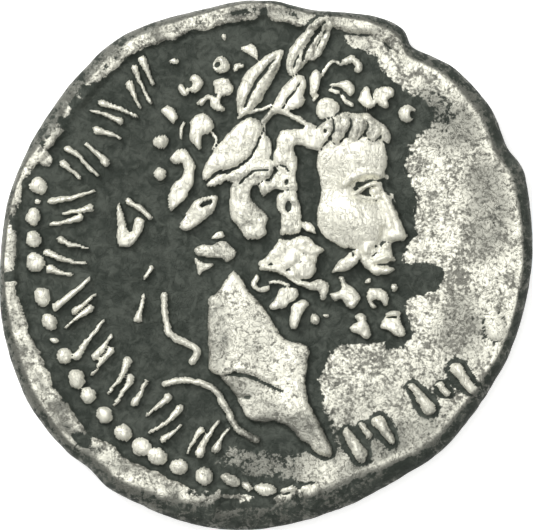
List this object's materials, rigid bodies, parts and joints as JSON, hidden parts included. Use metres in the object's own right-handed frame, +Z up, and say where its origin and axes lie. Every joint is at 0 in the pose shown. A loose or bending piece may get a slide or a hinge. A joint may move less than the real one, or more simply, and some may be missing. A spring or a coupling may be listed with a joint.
{
  "type": "denarius coin",
  "caption": "Worn ancient silver coin with an uneven round flan, a laurelled bearded head in relief on one side and an eagle between standards on the other.",
  "frame": {"origin": "under the middle of the coin, on the plane of the flat reverse rim that it lies on", "axes": "+Z up through the thickness, out of the portrait side; +Y towards the top of the portrait; +X the way the head faces"},
  "size_m": [0.0182, 0.018, 0.002],
  "materials": {
    "worn_silver": "hand-struck silver, bright and rubbed on the high points, with dark grey-green toning in the hollows and on the edge"
  },
  "bodies": {
    "root": {"denarius": "worn_silver"}
  },
  "joints": []
}
